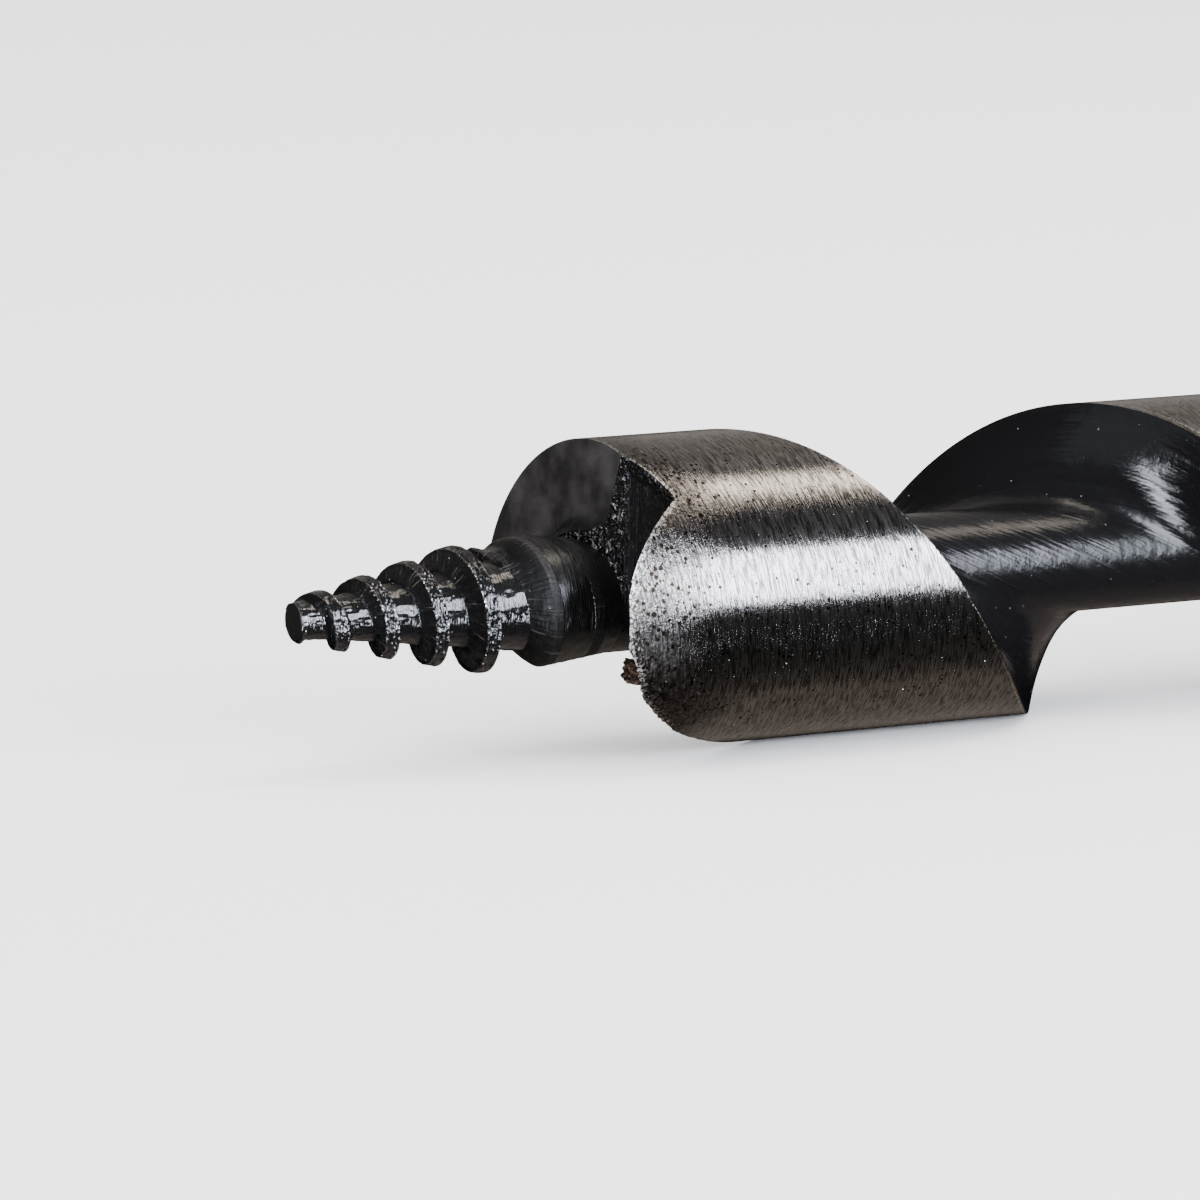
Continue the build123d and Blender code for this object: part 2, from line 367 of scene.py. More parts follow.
def spiral_tree(values, steel, lacquer):
    """Nodes that sweep the flute along its helix and take it, and the head's cuts, out of a turned blank."""
    tree = bpy.data.node_groups.new("auger_spiral", "GeometryNodeTree")
    kinds = {float: "NodeSocketFloat", int: "NodeSocketInt"}
    for name, value in values.items():
        kind = kinds.get(type(value), "NodeSocketObject")
        made = tree.interface.new_socket(name, in_out="INPUT", socket_type=kind)
        if type(value) in kinds:
            made.default_value = value
    tree.interface.new_socket("Geometry", in_out="OUTPUT", socket_type="NodeSocketGeometry")
    size = add(tree, "NodeGroupInput").outputs

    # The flute's outline: x along the bit, y the radius
    over = add(tree, PLUS, {0: size["Rim radius"], 1: OVERHANG})
    back_foot = add(tree, MINUS, {0: size["Flute width"], 1: size["Back face lean"]})
    corners = ((0.0, over), (size["Chip face lean"], size["Core radius"]), (back_foot, size["Core radius"]),
               (size["Flute width"], over))
    outline = add(tree, "GeometryNodeCurvePrimitiveQuadrilateral", mode="POINTS", inputs={
        f"Point {number}": add(tree, COMBINE, {"X": along, "Y": radius})
        for number, (along, radius) in enumerate(corners, 1)})
    # Only its two feet are rounded
    index = add(tree, "GeometryNodeInputIndex")
    past_first = add(tree, ABOVE, {0: index, 1: 0.5})
    before_last = add(tree, BELOW, {0: index, 1: 2.5})
    at_foot = add(tree, TIMES, {0: past_first, 1: before_last})
    foot_radius = add(tree, TIMES, {0: at_foot, 1: size["Root radius"]})
    rounded = add(tree, "GeometryNodeFilletCurve", {"Curve": outline, "Count": 12, "Radius": foot_radius},
                  mode="POLY")

    # A long cylinder whose angle runs round the outline and whose height runs along the helix
    place = add(tree, SPLIT, {0: add(tree, "GeometryNodeInputPosition")}).outputs
    angle = add(tree, ANGLE, {0: place["Y"], 1: place["X"]})
    share = add(tree, OVER, {0: angle, 1: 2 * math.pi})
    share = add(tree, FRACTION, {0: add(tree, PLUS, {0: share, 1: 1.0})})
    sample = add(tree, "GeometryNodeSampleCurve", {"Curves": rounded, "Factor": share},
                 mode="FACTOR", use_all_curves=True)
    drawn = add(tree, SPLIT, {0: sample.outputs["Position"]}).outputs
    turn = add(tree, RANGE, {"Value": place["Z"], "From Min": -0.5, "From Max": 0.5,
                             "To Min": size["First turn"], "To Max": size["Last turn"]})
    advance = add(tree, TIMES_PLUS, {0: turn, 1: size["Pitch"], 2: size["Chip edge"]})
    along = add(tree, PLUS, {0: advance, 1: drawn["X"]})
    turned_by = add(tree, TIMES, {0: turn, 1: 2 * math.pi})
    side = add(tree, TIMES, {0: add(tree, SINE, {0: turned_by}), 1: drawn["Y"]})
    side = add(tree, TIMES, {0: side, 1: -1.0})
    up = add(tree, TIMES, {0: add(tree, COSINE, {0: turned_by}), 1: drawn["Y"]})
    on_flute = add(tree, COMBINE, {"X": along, "Y": side, "Z": up})

    # The turned blank, with a cone at its end down to the neck
    distance = add(tree, RANGE, {"Value": place["Z"], "From Min": -0.5, "From Max": 0.5,
                                 "To Min": size["Front"], "To Max": size["Back"]})
    cone_start = add(tree, MINUS, {0: size["Back"], 1: size["Taper"]})
    width = add(tree, RANGE, {"Value": distance, "From Min": cone_start, "From Max": size["Back"],
                              "To Min": size["Rim radius"], "To Max": size["Neck radius"]})
    wide = add(tree, TIMES, {0: width, 1: place["X"]})
    high = add(tree, TIMES, {0: width, 1: place["Y"]})
    on_blank = add(tree, COMBINE, {"X": distance, "Y": wide, "Z": high})

    solids = []
    for around, lengthwise, spot, material in (
            ("Steps in profile", "Steps along", on_flute, lacquer),
            ("Blank steps around", "Blank steps along", on_blank, steel)):
        rod = add(tree, "GeometryNodeMeshCylinder", fill_type="NGON", inputs={
            "Vertices": size[around], "Side Segments": size[lengthwise], "Radius": 1.0, "Depth": 1.0})
        bent = add(tree, "GeometryNodeSetPosition", {"Geometry": rod, "Position": spot})
        solids.append(add(tree, "GeometryNodeSetMaterial", {"Geometry": bent, "Material": material}))
    flute, blank = solids

    # The cuts: the head's and the flute's together, held off the spur
    head, wedge = [add(tree, "GeometryNodeObjectInfo", {"Object": size[name]}).outputs["Geometry"]
                   for name in ("Head cuts", "Spur wedge")]
    both = add(tree, "GeometryNodeMeshBoolean", {"Mesh 2": flute}, operation="UNION", solver="MANIFOLD")
    feed(tree, both, {"Mesh 2": head})
    less = ("GeometryNodeMeshBoolean", {"operation": "DIFFERENCE", "solver": "MANIFOLD"})
    held = add(tree, less, {"Mesh 1": both, "Mesh 2": wedge})
    bit = add(tree, less, {"Mesh 1": blank, "Mesh 2": held})
    real = add(tree, "GeometryNodeRealizeInstances", {"Geometry": bit})
    add(tree, "NodeGroupOutput", {"Geometry": real})
    return tree


def new_material(name):
    """A node material with its tree and shader, and the place in metres, whole and split in x, y and z."""
    material = bpy.data.materials.new(name)
    material.use_nodes = True
    tree = material.node_tree
    place = add(tree, "ShaderNodeTexCoord").outputs["Object"]
    split = add(tree, SPLIT, {0: place}).outputs
    return material, tree, tree.nodes["Principled BSDF"], place, split


def turn_of(tree, split):
    """How many turns a point lies from the top, towards the front."""
    toward = add(tree, TIMES, {0: split["Y"], 1: -1.0})
    angle = add(tree, ANGLE, {0: toward, 1: split["Z"]})
    return add(tree, OVER, {0: angle, 1: 2 * math.pi})


def radius_of(tree, split):
    """A point's distance from the axis."""
    side = add(tree, COMBINE, {"Y": split["Y"], "Z": split["Z"]})
    return add(tree, LENGTH, {0: side})


def past_edge(tree, split, turn):
    """How many pitches a point lies past the web's chip edge."""
    past = add(tree, MINUS, {0: split["X"], 1: CHIP_EDGE_X})
    past = add(tree, OVER, {0: past, 1: PITCH})
    return add(tree, MINUS, {0: past, 1: turn})


def tool_marks(tree, place, spans, detail, roughness, rotation=(0.0, 0.0, 0.0)):
    """Marks that a tool has drawn out: each spans these many millimetres along x, y and z."""
    stretched = add(tree, MAPPING, {"Vector": place, "Rotation": rotation,
                                    "Scale": tuple(scale_of(span) for span in spans)})
    return add(tree, NOISE, {"Vector": stretched, "Scale": 1.0, "Detail": detail, "Roughness": roughness})


def cutter_fan(tree, split, marks, reach):
    """Marks that radiate from the axis: this many to the turn, each this many millimetres long."""
    around = add(tree, TIMES, {0: turn_of(tree, split), 1: marks})
    outward = add(tree, TIMES, {0: radius_of(tree, split), 1: scale_of(reach)})
    spread = add(tree, COMBINE, {"X": around, "Y": outward})
    return add(tree, NOISE, {"Vector": spread, "Scale": 1.0, "Detail": 2.0, "Roughness": 0.7})


def dust_specks(tree, place, spacing, empty, widest):
    """Settled dust: a speck to a cell of this many millimetres, none in this share of the cells."""
    cells = add(tree, CELLS, {"Vector": place, "Scale": scale_of(spacing)})
    chance = add(tree, CHANNELS, {"Color": cells.outputs["Color"]})
    size = add(tree, RANGE, {"Value": chance, "From Min": empty, "To Max": widest})
    return add(tree, BELOW, {0: cells.outputs["Distance"], 1: size})


def weighed(tree, first, parts):
    """The first value plus each part times its weight."""
    for part, weight in parts:
        first = add(tree, TIMES_PLUS, {0: part, 1: weight, 2: first})
    return first


def set_stops(ramp, *stops):
    """Puts (position, colour) stops on a colour ramp, in rising order."""
    elements = ramp.color_ramp.elements
    while len(elements) < len(stops):
        elements.new(1.0)
    for element, (position, colour) in zip(elements, stops):
        element.position = position
        element.color = colour


def steel_material(colours):
    """Ground carbon steel: grinding lines run round the rim, the front is pitted and the edges are burred,
    the burr partly a painted edge highlight.
    """
    material, tree, shader, place, split = new_material("ground_carbon_steel")
    # Grinding lines, under 0.1 mm apart and about 1 mm long, lean a little with the hand of the spiral
    lean = add(tree, TIMES_PLUS, {0: split["Z"], 1: 0.16, 2: split["X"]})
    leaned = add(tree, COMBINE, {"X": lean, "Y": split["Y"], "Z": split["Z"]})
    lines, waves, scratches = [
        tool_marks(tree, leaned, (across, along, along), detail, 0.6)
        for across, along, detail in ((0.09, 0.8, 3.0), (0.35, 4.0, 2.0), (0.07, 0.3, 2.0))]
    # Distance back from the head's faces: the land starts behind the throat, or behind relief and gullet
    throat_face = ((THROAT_SLOPE, -1.0, 0.0), THROAT_SLOPE * (POINT_X + SCREW_END) + SPUR_EDGE)
    relief_face = ((1.0, RELIEF_SLOPE * math.sin(RELIEF_HIGH), -RELIEF_SLOPE * math.cos(RELIEF_HIGH)),
                   POINT_X + relief_x(0, 0))
    gullet_face = ((1.0, GULLET_SLOPE, 0.0), POINT_X + EDGE_X - GULLET_START * GULLET_SLOPE)
    throat, relief, gullet = [
        add(tree, MINUS, {0: add(tree, DOT, {0: place, 1: slopes}), 1: start})
        for slopes, start in (throat_face, relief_face, gullet_face)]
    under = add(tree, TIMES_PLUS, {0: split["Z"], 1: -1.0, 2: -THROAT_LEAN_FROM})
    under = add(tree, LARGER, {0: under, 1: 0.0})
    throat = add(tree, TIMES_PLUS, {0: under, 1: THROAT_LEAN, 2: throat})
    ground = add(tree, SMALLER, {0: relief, 1: gullet})
    front = add(tree, LARGER, {0: throat, 1: ground})
    pitted = add(tree, RANGE, interpolation_type="SMOOTHSTEP", inputs={
        "Value": front, "From Min": 0.0003, "From Max": 0.0036, **FALLING})
    # Pitting grows towards the bottom of the web's trailing corner, so it is rougher and darker there
    low = add(tree, RANGE, {"Value": split["Z"], "From Min": 0.002, "From Max": -0.006, "To Min": 0.55})
    pitted = add(tree, TIMES, {0: pitted, 1: low})
    grain = add(tree, NOISE, {"Vector": place, "Scale": scale_of(0.16), "Detail": 3.0, "Roughness": 0.75})
    # Pits 0.1 to 0.2 mm wide: many at the front, few elsewhere
    cells = add(tree, CELLS, {"Vector": place, "Scale": scale_of(0.3)})
    patch = add(tree, NOISE, {"Vector": place, "Scale": scale_of(1.6)})
    wide = weighed(tree, 0.0, ((pitted, 0.42), (patch, 0.5)))
    chance = add(tree, CHANNELS, {"Color": cells.outputs["Color"]})
    wide = add(tree, TIMES, {0: wide, 1: chance})
    pit = add(tree, BELOW, {0: cells, 1: wide})
    # Height: lines everywhere, grain towards the front, pits sunk
    coarse = add(tree, TIMES, {0: grain, 1: pitted})
    height = weighed(tree, lines, ((waves, 0.8), (scratches, 0.5), (coarse, 3.4), (pit, -2.5)))
    bump = add(tree, BUMP, {"Height": height, "Distance": 0.000018, "Strength": 0.9})
    # Sparkles: specks under 0.1 mm wide whose facets face any way, thickest at the front
    facets = add(tree, CELLS, {"Vector": place, "Scale": scale_of(0.21)})
    facing = add(tree, CHANNELS, {"Color": facets.outputs["Color"]})
    reach = weighed(tree, 0.1, ((pitted, 0.22), (patch, 0.2)))
    reach = add(tree, TIMES, {0: reach, 1: facing.outputs["Green"]})
    spark = add(tree, BELOW, {0: facets, 1: reach})
    tilt = add(tree, VECTOR_MINUS, {0: facets.outputs["Color"], 1: (0.5, 0.5, 0.5)})
    strong = add(tree, TIMES, {0: spark, 1: 1.7})
    tilt = add(tree, SCALED, {0: tilt, "Scale": strong})
    tilted = add(tree, VECTOR_PLUS, {0: bump, 1: tilt})
    tilted = add(tree, DIRECTION, {0: tilted})
    # Burr: bright torn dots along every edge of the land, partly real burr and partly a painted edge
    # highlight
    past = past_edge(tree, split, turn_of(tree, split))
    share = add(tree, FRACTION, {0: past})
    to_chip = add(tree, MINUS, {0: 1.0, 1: share})
    to_back = add(tree, MINUS, {0: share, 1: 1 - LAND_WIDTH / PITCH})
    to_back = add(tree, UNSIGNED, {0: to_back})
    # The spur has no back edge
    behind = add(tree, DOT, {0: place, 1: (1.0, 0.0, BEHIND_SLOPE)})
    in_spur = add(tree, BELOW, {0: behind, 1: POINT_X + BEHIND_X})
    in_spur = add(tree, TIMES, {0: in_spur, 1: add(tree, ABOVE, {0: throat, 1: 0.0})})
    to_back = add(tree, PLUS, {0: to_back, 1: in_spur})
    near = add(tree, SMALLER, {0: to_chip, 1: to_back})
    near = add(tree, TIMES, {0: near, 1: PITCH})
    brink = add(tree, UNSIGNED, {0: front})
    brink = add(tree, TIMES, {0: brink, 1: 0.33})
    near = add(tree, SMALLER, {0: near, 1: brink})
    torn = add(tree, TIMES_PLUS, {0: grain, 1: -0.0007, 2: near})
    burr_and_edge_highlight = add(tree, RANGE, {"Value": torn, "From Min": -0.00036, "From Max": -0.0003, **FALLING})
    # Colour and gloss; the burr's light colour is partly a painted edge highlight
    colour = add(tree, RAMP, {0: lines})
    set_stops(colour, (0.4, opaque(colours.steel, 0.28)), (0.56, opaque(colours.steel)))
    flecked = add(tree, RANGE, {"Value": grain, "From Min": 0.47, "From Max": 0.55, **FALLING})
    flecked = add(tree, TIMES, {0: flecked, 1: pitted})
    dark = add(tree, LARGER, {0: flecked, 1: pit})
    dull = add(tree, TIMES, {0: pitted, 1: 0.45})
    for share, over in ((dark, "#1A1512"), (dull, "#2C2724"), (burr_and_edge_highlight, "#D2CEC8")):
        colour = add(tree, MIX, {"Factor": share, "A": colour, "B": opaque(linear(over))})
    rough = add(tree, RANGE, {"Value": waves, "From Min": 0.3, "From Max": 0.7,
                              "To Min": 0.15, "To Max": 0.24})
    rough = weighed(tree, rough, ((pitted, 0.1), (burr_and_edge_highlight, 0.2), (spark, 0.16)))
    # The lines spread a reflection along the bit and hardly round it
    lengthwise = add(tree, COMBINE, {"X": 1.0})
    feed(tree, shader, {"Base Color": colour, "Roughness": rough, "Normal": tilted, "Metallic": 1.0,
                        "Anisotropic": 0.75, "Tangent": lengthwise})
    return material


def lacquer_material(colours):
    """Baked black lacquer over a forged flute: glossy, drawn out along the spiral, with settled dust."""
    material, tree, shader, place, split = new_material("baked_black_lacquer")
    # Streaks 0.4 mm wide and 6 mm long follow the spiral
    turn = turn_of(tree, split)
    across = add(tree, TIMES, {0: past_edge(tree, split, turn), 1: PITCH / 0.0004})
    deep = add(tree, TIMES, {0: radius_of(tree, split), 1: scale_of(0.4)})
    along = add(tree, TIMES, {0: turn, 1: 6.0})
    wound = add(tree, COMBINE, {"X": across, "Y": deep, "Z": along})
    streak = add(tree, NOISE, {"Vector": wound, "Scale": 1.0, "Detail": 3.0, "Roughness": 0.55})
    peel = add(tree, NOISE, {"Vector": place, "Scale": scale_of(0.9), "Detail": 3.0})
    fine = add(tree, NOISE, {"Vector": place, "Scale": scale_of(0.14)})
    speck = dust_specks(tree, place, 0.55, 0.4, 0.1)
    height = weighed(tree, streak, ((peel, 1.6), (fine, 0.25), (speck, 0.6)))
    bump = add(tree, BUMP, {"Height": height, "Distance": 0.00003, "Strength": 0.8})
    colour = add(tree, MIX, {"Factor": speck, "A": opaque(colours.lacquer), "B": opaque(linear("#57534E"))})
    rough = add(tree, RANGE, {"Value": streak, "From Min": 0.3, "From Max": 0.7,
                              "To Min": 0.13, "To Max": 0.28})
    rough = weighed(tree, rough, ((speck, 0.4),))
    feed(tree, shader, {"Base Color": colour, "Roughness": rough, "Normal": bump,
                        "Specular IOR Level": 0.22})
    return material


def relief_material(colours):
    """Thin dull lacquer over the ground disc: cloudy, brushed, and fanned by the cutter at its shoulder."""
    material, tree, shader, place, split = new_material("lacquered_relief")
    cloud = add(tree, NOISE, {"Vector": place, "Scale": scale_of(1.4), "Detail": 4.0, "Roughness": 0.6})
    smudge = add(tree, NOISE, {"Vector": place, "Scale": scale_of(2.6), "Detail": 3.0, "Roughness": 0.55})
    grain = add(tree, NOISE, {"Vector": place, "Scale": scale_of(0.12)})
    # Wheel marks under 0.2 mm apart and 2 mm long cross the disc
    brushed = tool_marks(tree, place, (1.0, 2.0, 0.18), 3.0, 0.65, (0.5, 0.0, 0.0))
    # The shoulder is fanned by the cutter, with a mark every 2.4 degrees
    fan = cutter_fan(tree, split, 150.0, 2.0)
    shoulder = add(tree, RANGE, {"Value": radius_of(tree, split), "From Min": 0.0037, "From Max": 0.0046,
                                 **FALLING})
    fanned = add(tree, TIMES, {0: fan, 1: shoulder})
    # The wheel's second pass stopped on a line across the disc
    step = add(tree, TIMES_PLUS, {0: split["Y"], 1: -0.12, 2: split["Z"]})
    step = add(tree, RANGE, {"Value": step, "From Min": 0.00425, "From Max": 0.00435})
    height = weighed(tree, 0.0, ((cloud, 5.0), (fanned, 5.0), (grain, 0.35), (brushed, 1.8), (step, 0.8)))
    bump = add(tree, BUMP, {"Height": height, "Distance": 0.00003, "Strength": 0.8})
    tone = add(tree, RAMP, {0: smudge})
    set_stops(tone, (0.4, opaque(colours.relief, 0.4)), (0.64, opaque(colours.relief, 1.45)))
    rubbed = add(tree, RAMP, {0: fan})
    set_stops(rubbed, (0.6, opaque(colours.lacquer)), (0.72, opaque(RUBBED)))
    colour = add(tree, MIX, {"Factor": shoulder, "A": tone, "B": rubbed})
    rough = add(tree, RANGE, {"Value": shoulder, "To Min": 0.3, "To Max": 0.2})
    rough = weighed(tree, rough, ((cloud, 0.3),))
    feed(tree, shader, {"Base Color": colour, "Roughness": rough, "Normal": bump})
    return material


def gullet_material(colours):
    """The gullet and the throat: milled along the lip, so ribbed every 0.3 mm, and coated black."""
    material, tree, shader, place, split = new_material("milled_gullet")
    ribs = tool_marks(tree, place, (0.3, 0.3, 4.0), 2.5, 0.6)
    grain = add(tree, NOISE, {"Vector": place, "Scale": scale_of(0.12)})
    # Lacquer has beaded along the edge with the disc and along the rim
    inner = add(tree, RANGE, {"Value": split["Y"], "From Min": -GULLET_START - 0.0005,
                              "From Max": -GULLET_START - 0.0001})
    outer = add(tree, RANGE, {"Value": radius_of(tree, split), "From Min": RIM - 0.0007,
                              "From Max": RIM - 0.0001})
    beaded = add(tree, LARGER, {0: inner, 1: outer})
    beads = add(tree, NOISE, {"Vector": place, "Scale": scale_of(0.3), "Detail": 1.0})
    beads = add(tree, TIMES, {0: beads, 1: beaded})
    height = weighed(tree, ribs, ((grain, 0.25), (beads, 3.0)))
    bump = add(tree, BUMP, {"Height": height, "Distance": 0.00022, "Strength": 1.0})
    glint = add(tree, RAMP, {0: grain})
    set_stops(glint, (0.6, opaque(colours.lacquer)), (0.8, opaque(linear("#33302C"))))
    # Bare steel shows on the torn beads, partly as real wear and partly as painted glints
    bare = add(tree, RANGE, {"Value": beads, "From Min": 0.6, "From Max": 0.7})
    colour = add(tree, MIX, {"Factor": bare, "A": glint, "B": opaque(colours.steel)})
    rough = add(tree, RANGE, {"Value": ribs, "From Min": 0.3, "From Max": 0.7,
                              "To Min": 0.28, "To Max": 0.5})
    rough = weighed(tree, rough, ((beaded, -0.2),))
    feed(tree, shader, {"Base Color": colour, "Roughness": rough, "Normal": bump, "Metallic": bare,
                        "Specular IOR Level": 0.24})
    return material


def thread_material(colours):
    """Baked black lacquer on the turned thread: gloss, cutter fans on the flanks, chips on the crests that
    are partly real and partly painted glints.
    """
    material, tree, shader, place, split = new_material("lacquered_thread")
    brow_wear_and_glint, flank = [add(tree, "ShaderNodeAttribute", attribute_name=name).outputs["Fac"]
                   for name in ("crest_wear_and_glint", "flank")]
    # Turning lines run round the screw, about 0.1 mm apart
    lines = tool_marks(tree, place, (0.13, 1.3, 1.3), 3.0, 0.65)
    peel = add(tree, NOISE, {"Vector": place, "Scale": scale_of(0.5), "Detail": 3.0})
    fan = cutter_fan(tree, split, 110.0, 1.5)
    fanned = add(tree, TIMES, {0: fan, 1: flank})
    height = weighed(tree, peel, ((lines, 1.7), (fanned, 3.0)))
    bump = add(tree, BUMP, {"Height": height, "Distance": 0.00003, "Strength": 0.8})
    grain = add(tree, NOISE, {"Vector": place, "Scale": scale_of(0.2), "Detail": 3.0})
    glints = add(tree, NOISE, {"Vector": place, "Scale": scale_of(0.1), "Detail": 1.0})
    grain = weighed(tree, 0.0, ((glints, 0.5), (grain, 0.5)))
    # Bare steel chips along the brows and round the point: partly real wear, partly painted glints
    chip = add(tree, RANGE, {"Value": weighed(tree, brow_wear_and_glint, ((grain, 2.0),)), "From Min": 2.06,
                             "From Max": 2.12})
    speck = dust_specks(tree, place, 0.36, 0.5, 0.11)
    # The crests of the cutter's marks have rubbed grey
    rubbed = add(tree, RANGE, {"Value": fan, "From Min": 0.6, "From Max": 0.72})
    rubbed = add(tree, TIMES, {0: rubbed, 1: flank})
    colour = opaque(colours.lacquer)
    for share, over in ((rubbed, RUBBED), (speck, linear("#7A756F")), (chip, colours.steel)):
        colour = add(tree, MIX, {"Factor": share, "A": colour, "B": opaque(over)})
    # The turned base behind the thread is duller, and so is the flank that the last turn leaves on it
    base = add(tree, RANGE, {"Value": split["X"], "From Min": POINT_X + 0.0125,
                             "From Max": POINT_X + 0.0138, "To Min": 0.07, "To Max": 0.3})
    facet = add(tree, BELOW, {0: split["X"], 1: POINT_X + 0.00008})
    last = add(tree, RANGE, {"Value": split["X"], "From Min": POINT_X + 0.0114,
                             "From Max": POINT_X + 0.012, "To Max": 0.32})
    rough = weighed(tree, base, ((facet, 0.5), (lines, 0.16), (last, flank), (speck, 0.4)))
    feed(tree, shader, {"Base Color": colour, "Roughness": rough, "Normal": bump, "Metallic": chip,
                        "IOR": 1.6})
    return material


def chip_material(colours):
    """Torn carbon steel gone brown: dull, crumbly, with a few bright spots of bare metal."""
    material, tree, shader, place, _ = new_material("rusted_chip")
    grain = add(tree, NOISE, {"Vector": place, "Scale": scale_of(0.2), "Detail": 3.0})
    bump = add(tree, BUMP, {"Height": grain, "Distance": 0.00012, "Strength": 1.0})
    tone = add(tree, RAMP, {0: grain})
    set_stops(tone, (0.42, opaque(linear("#14100E"))), (0.54, opaque(colours.rust, 0.7)),
              (0.66, opaque(linear("#6E5A48"))))
    feed(tree, shader, {"Base Color": tone, "Roughness": 0.55, "Normal": bump, "Metallic": 0.5})
    return material


def paper_material(colours):
    """Matt pale paper, which shows nothing but the bit's soft shadow."""
    material, tree, shader, _, _ = new_material("pale_paper")
    feed(tree, shader, {"Base Color": opaque(colours.floor), "Roughness": 0.9})
    return material


MATERIALS = {"ground_carbon_steel": steel_material, "baked_black_lacquer": lacquer_material,
             "lacquered_relief": relief_material, "milled_gullet": gullet_material,
             "lacquered_thread": thread_material, "rusted_chip": chip_material,
             "pale_paper": paper_material}


def shared_material(name):
    """The material of this name, made the first time that it is asked for."""
    return bpy.data.materials.get(name) or MATERIALS[name](bpy.context.scene.auger_colours)


class AUGER_OT_spiral(bpy.types.Operator):
    """Builds the spiral with its cutting head"""

    bl_idname = "auger.spiral"
    bl_label = "Spiral and cutting head"

    def execute(self, context):
        sizes = context.scene.auger_sizes
        steel, lacquer, relief, gullet = [shared_material(name) for name in (
            "ground_carbon_steel", "baked_black_lacquer", "lacquered_relief", "milled_gullet")]
        cuts = head_cuts(lacquer, relief, gullet)
        wedge = spur_wedge(gullet)
        spiral = bpy.data.objects.new("spiral", bpy.data.meshes.new("spiral"))
        context.scene.collection.objects.link(spiral)
        first_turn, last_turn = -1.2, 3.9
        values = {
            "Rim radius": RIM, "Core radius": sizes.core_radius, "Pitch": sizes.pitch,
            "Flute width": sizes.pitch - sizes.land_width, "Chip face lean": sizes.chip_lean,
            "Back face lean": sizes.back_lean, "Root radius": sizes.root_radius,
            "Chip edge": sizes.chip_edge_x, "First turn": first_turn, "Last turn": last_turn,
            "Front": POINT_X + sizes.screw_length, "Back": POINT_X + sizes.screw_length + sizes.spiral_length,
            "Taper": 0.005, "Neck radius": sizes.neck_radius,
            "Steps along": int(sizes.turn_steps * (last_turn - first_turn)), "Steps in profile": 64,
            "Blank steps along": 290, "Blank steps around": 260, "Head cuts": cuts, "Spur wedge": wedge,
        }
        modifier = spiral.modifiers.new("spiral", "NODES")
        modifier.node_group = spiral_tree(values, steel, lacquer)
        for item in modifier.node_group.interface.items_tree:
            if item.name in values:
                modifier[item.identifier] = values[item.name]
        settle(spiral)
        bpy.data.objects.remove(cuts)
        bpy.data.objects.remove(wedge)
        if len(spiral.data.polygons) < 1000:
            raise RuntimeError("the spiral came out empty")
        finish_piece(spiral, 28)
        return {"FINISHED"}


